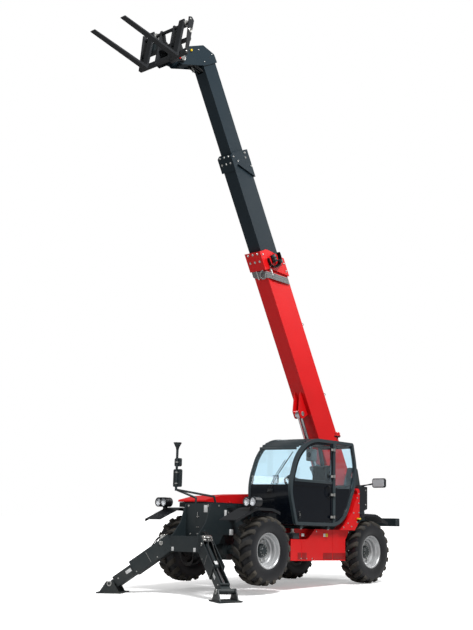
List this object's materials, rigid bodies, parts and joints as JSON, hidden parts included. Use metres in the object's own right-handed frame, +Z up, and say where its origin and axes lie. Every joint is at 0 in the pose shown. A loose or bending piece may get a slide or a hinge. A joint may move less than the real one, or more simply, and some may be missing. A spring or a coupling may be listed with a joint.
{
  "type": "telehandler",
  "caption": "Fixed-frame telescopic handler on stabilisers with a three-stage boom raised, side cab, fork carriage and four steered wheels.",
  "frame": {"origin": "on the ground under the middle of the overall length, on the machine's middle plane", "axes": "+X forward, +Y to the machine's left, +Z up; the machine itself stands 2.56 degrees nose up on its stabilisers"},
  "size_m": [7.2073, 3.347, 10.3034],
  "materials": {
    "grey_paint": "satin anthracite",
    "red_paint": "gloss red",
    "silver_paint": "satin silver",
    "tyre": "rubber",
    "glass": "clear",
    "chrome": "polished",
    "seat_fabric": "woven",
    "beacon_red": "gloss",
    "black_plastic": "moulded",
    "cast_metal": "cast"
  },
  "bodies": {
    "chassis": {"main_frame": "grey_paint", "stabiliser_frame": "grey_paint", "front_axle": "grey_paint", "rear_axle": "grey_paint", "side_box": "red_paint", "rear_bodywork": "red_paint", "rear_tank": "grey_paint", "rear_bar": "grey_paint", "engine_housing": "grey_paint", "engine_block": "cast_metal", "fenders": "black_plastic", "lamps": "black_plastic", "cab_frame": "grey_paint", "cab_panels": "black_plastic", "cab_roof": "black_plastic", "cab_glass": "glass", "cab_seat": "seat_fabric", "cab_controls": "black_plastic", "mirror_mast": "grey_paint", "rear_mirror": "black_plastic", "beacon": "beacon_red"},
    "cab_door": {"door_frame": "black_plastic", "door_glass": "glass"},
    "engine_hood": {"engine_hood": "red_paint"},
    "boom_1": {"boom_section_1": "red_paint"},
    "boom_2": {"boom_section_2": "grey_paint"},
    "boom_3": {"boom_section_3": "grey_paint"},
    "carriage": {"carriage": "grey_paint", "forks": "grey_paint"},
    "lift_barrel": {"lift_barrel": "grey_paint"},
    "lift_rod": {"lift_rod": "chrome"},
    "tilt_barrel": {"tilt_barrel": "grey_paint"},
    "tilt_rod": {"tilt_rod": "chrome"},
    "leg_left": {"leg_left": "grey_paint"},
    "leg_right": {"leg_right": "grey_paint"},
    "foot_left": {"foot_left": "grey_paint"},
    "foot_right": {"foot_right": "grey_paint"},
    "knuckle_front_left": {"knuckle_front_left": "grey_paint"},
    "wheel_front_left": {"rim_front_left": "silver_paint", "tyre_front_left": "tyre"},
    "knuckle_front_right": {"knuckle_front_right": "grey_paint"},
    "wheel_front_right": {"rim_front_right": "silver_paint", "tyre_front_right": "tyre"},
    "knuckle_rear_left": {"knuckle_rear_left": "grey_paint"},
    "wheel_rear_left": {"rim_rear_left": "silver_paint", "tyre_rear_left": "tyre"},
    "knuckle_rear_right": {"knuckle_rear_right": "grey_paint"},
    "wheel_rear_right": {"rim_rear_right": "silver_paint", "tyre_rear_right": "tyre"}
  },
  "joints": [
    {"name": "steer_front_left", "type": "hinge", "parent": "chassis", "child": "knuckle_front_left", "pos_m": [0.63066, 0.655, 0.738], "axis": [-0.0447, 0, 0.999], "range_deg": [-34, 34]},
    {"name": "roll_front_left", "type": "hinge", "parent": "knuckle_front_left", "child": "wheel_front_left", "pos_m": [0.63066, 0.93, 0.738], "axis": [0, 1, 0], "continuous": true},
    {"name": "steer_front_right", "type": "hinge", "parent": "chassis", "child": "knuckle_front_right", "pos_m": [0.63066, -0.655, 0.738], "axis": [-0.0447, 0, 0.999], "range_deg": [-34, 34]},
    {"name": "roll_front_right", "type": "hinge", "parent": "knuckle_front_right", "child": "wheel_front_right", "pos_m": [0.63066, -0.93, 0.738], "axis": [0, 1, 0], "continuous": true},
    {"name": "steer_rear_left", "type": "hinge", "parent": "chassis", "child": "knuckle_rear_left", "pos_m": [-2.45626, 0.655, 0.6], "axis": [-0.0447, 0, 0.999], "range_deg": [-34, 34]},
    {"name": "roll_rear_left", "type": "hinge", "parent": "knuckle_rear_left", "child": "wheel_rear_left", "pos_m": [-2.45626, 0.93, 0.6], "axis": [0, 1, 0], "continuous": true},
    {"name": "steer_rear_right", "type": "hinge", "parent": "chassis", "child": "knuckle_rear_right", "pos_m": [-2.45626, -0.655, 0.6], "axis": [-0.0447, 0, 0.999], "range_deg": [-34, 34]},
    {"name": "roll_rear_right", "type": "hinge", "parent": "knuckle_rear_right", "child": "wheel_rear_right", "pos_m": [-2.45626, -0.93, 0.6], "axis": [0, 1, 0], "continuous": true},
    {"name": "door_hinge", "type": "hinge", "parent": "chassis", "child": "cab_door", "pos_m": [-1.24717, 1.137, 1.65505], "axis": [-0.0447, 0, 0.999], "range_deg": [0, 105]},
    {"name": "hood_hinge", "type": "hinge", "parent": "chassis", "child": "engine_hood", "pos_m": [-0.95089, -0.349, 1.52115], "axis": [-0.999, 0, -0.0447], "range_deg": [0, 55]},
    {"name": "boom_lift", "type": "hinge", "parent": "chassis", "child": "boom_1", "pos_m": [-2.97869, 0, 2.09816], "axis": [0, -1, 0], "range_deg": [-61, 9]},
    {"name": "boom_extend_2", "type": "slide", "parent": "boom_1", "child": "boom_2", "axis": [0.4453, 0, 0.8954], "range_m": [-1.6, 2.2]},
    {"name": "boom_extend_3", "type": "slide", "parent": "boom_2", "child": "boom_3", "axis": [0.4453, 0, 0.8954], "range_m": [-1.68, 2.2]},
    {"name": "fork_tilt", "type": "hinge", "parent": "boom_3", "child": "carriage", "pos_m": [1.86998, 0, 9.71271], "axis": [0, 1, 0], "range_deg": [-60, 50]},
    {"name": "lift_barrel_swing", "type": "hinge", "parent": "chassis", "child": "lift_barrel", "pos_m": [-2.63343, 0, 1.09258], "axis": [0, -1, 0], "range_deg": [-50, 8]},
    {"name": "lift_rod_slide", "type": "slide", "parent": "lift_barrel", "child": "lift_rod", "axis": [0.403, 0, 0.9152], "range_m": [-1.02, 0.16]},
    {"name": "tilt_barrel_swing", "type": "hinge", "parent": "boom_3", "child": "tilt_barrel", "pos_m": [0.9895, 0, 9.67368], "axis": [0, 1, 0], "range_deg": [-6, 10]},
    {"name": "tilt_rod_slide", "type": "slide", "parent": "tilt_barrel", "child": "tilt_rod", "axis": [0.9465, 0, 0.3227], "range_m": [-0.26, 0.22]},
    {"name": "jack_left", "type": "slide", "parent": "chassis", "child": "leg_left", "axis": [0.3907, 0.7386, -0.5493], "range_m": [-0.4, 0.08]},
    {"name": "foot_pivot_left", "type": "hinge", "parent": "leg_left", "child": "foot_left", "pos_m": [2.0317, 1.367, 0.164], "axis": [0.8952, -0.4438, 0.04], "range_deg": [-12, 20]},
    {"name": "jack_right", "type": "slide", "parent": "chassis", "child": "leg_right", "axis": [0.3907, -0.7386, -0.5493], "range_m": [-0.4, 0.08]},
    {"name": "foot_pivot_right", "type": "hinge", "parent": "leg_right", "child": "foot_right", "pos_m": [2.0317, -1.367, 0.164], "axis": [0.8952, 0.4438, 0.04], "range_deg": [-12, 20]}
  ],
  "couplings": [
    {"joint": "steer_front_right", "follows": "steer_front_left", "ratio": 1},
    {"joint": "steer_rear_right", "follows": "steer_rear_left", "ratio": 1},
    {"joint": "lift_barrel_swing", "follows": "boom_lift", "ratio": 0.797},
    {"joint": "lift_rod_slide", "follows": "boom_lift", "m_per_rad": 0.942},
    {"joint": "tilt_barrel_swing", "follows": "fork_tilt", "ratio": 0.09},
    {"joint": "tilt_rod_slide", "follows": "fork_tilt", "m_per_rad": 0.23}
  ]
}
